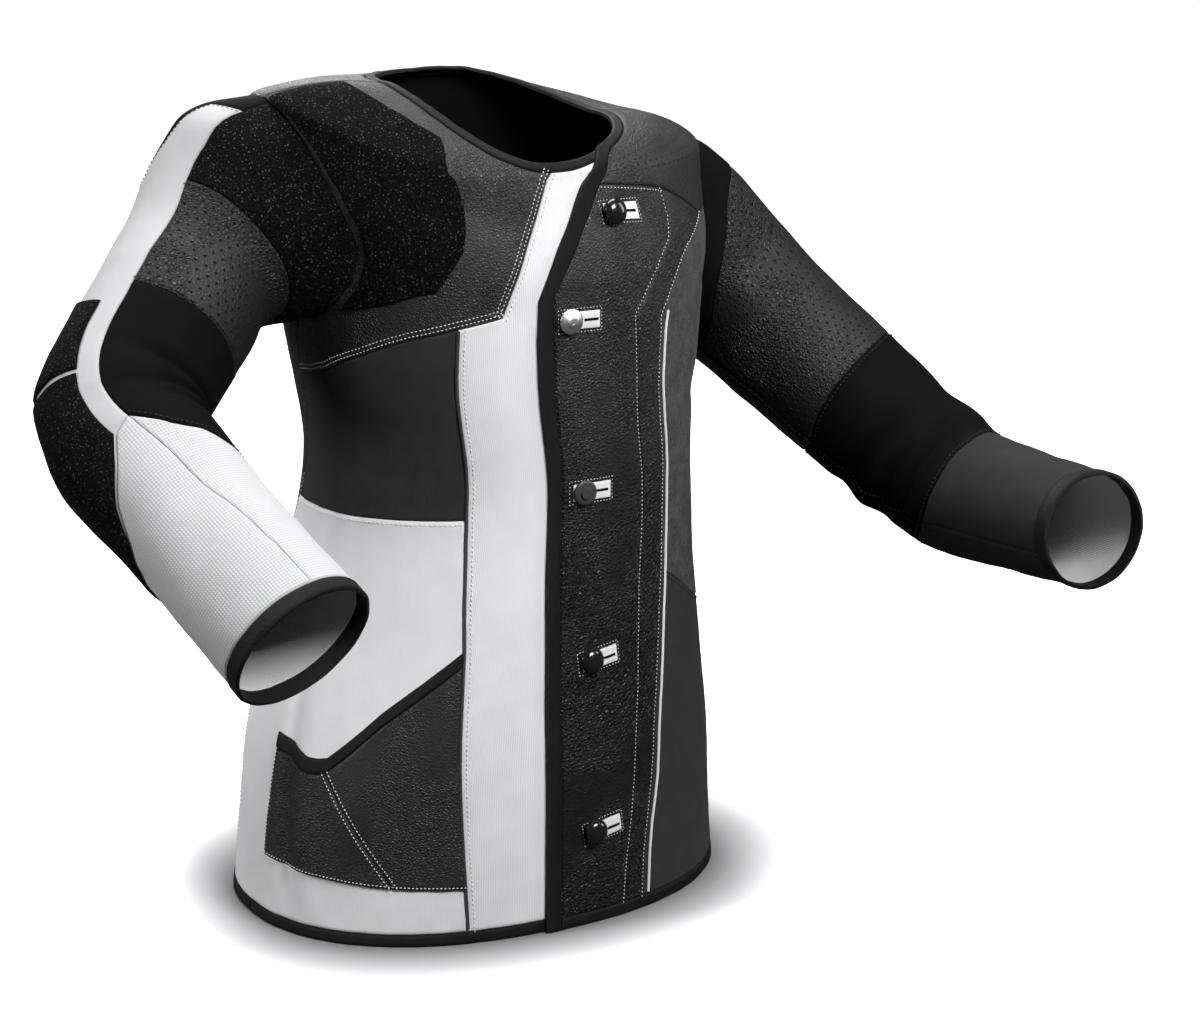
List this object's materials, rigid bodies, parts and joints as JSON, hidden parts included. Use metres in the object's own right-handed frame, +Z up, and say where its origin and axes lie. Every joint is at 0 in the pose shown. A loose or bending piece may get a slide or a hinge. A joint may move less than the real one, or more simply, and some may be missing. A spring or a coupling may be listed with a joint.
{
  "type": "shooting jacket",
  "caption": "Stiff panelled jacket for rifle shooting, buttoned at the front, with bent sleeves, grip patches and a slanted pocket, standing hollow on its hem",
  "frame": {"origin": "middle of the bounding box at the hem's underside", "axes": "+Z up, the front faces -Y, the wearer's left is +X"},
  "size_m": [0.7496, 0.5178, 0.635],
  "materials": {
    "canvas": "matt woven canvas with a fine upright weave",
    "white_weave": "matt white cloth with a fine grid weave",
    "leather": "grained leather with a soft sheen",
    "perforated": "grained leather with rows of small holes",
    "grip": "rough granular grip surface",
    "fabric": "matt dark woven fabric",
    "stretch": "smooth black stretch cloth",
    "suede": "soft napped leather",
    "binding": "ribbed black binding",
    "piping": "grey cord",
    "white_trim": "white trim",
    "black_gloss": "glossy black",
    "metal": "brushed metal"
  },
  "bodies": {
    "root": {"back_left": "leather", "back_right": "leather", "back_yoke": "leather", "button_fourth": "black_gloss", "button_fourth_patch": "white_trim", "button_low": "black_gloss", "button_low_patch": "white_trim", "button_middle": "black_gloss", "button_middle_patch": "white_trim", "button_second": "metal", "button_second_patch": "white_trim", "button_top": "black_gloss", "button_top_patch": "white_trim", "hem_binding_back_left": "binding", "hem_binding_back_right": "binding", "hem_binding_left": "binding", "hem_binding_right": "binding", "left_cuff_binding": "binding", "left_edge_binding": "binding", "left_elbow_stretch_back": "stretch", "left_elbow_stretch_front": "stretch", "left_forearm_back": "fabric", "left_forearm_front": "fabric", "left_front_leather": "leather", "left_front_strip": "leather", "left_gusset_back": "stretch", "left_gusset_front": "stretch", "left_piping": "white_trim", "left_shoulder_leather": "perforated", "left_side_fabric": "fabric", "left_side_suede": "suede", "left_upper_leather_back": "perforated", "left_upper_leather_front": "perforated", "neck_binding": "binding", "pocket_binding": "binding", "pocket_front": "leather", "pocket_side": "leather", "right_chest_fabric": "fabric", "right_cuff_binding": "binding", "right_elbow_pad_lower": "grip", "right_elbow_pad_upper": "grip", "right_elbow_stretch": "stretch", "right_forearm_inner": "white_weave", "right_forearm_outer": "white_weave", "right_front_canvas": "canvas", "right_head_grip": "grip", "right_head_strip": "stretch", "right_piping": "piping", "right_placket": "canvas", "right_shoulder_grip": "grip", "right_sleeve_white": "white_weave", "right_upper_leather": "perforated", "right_yoke": "leather"}
  },
  "joints": []
}
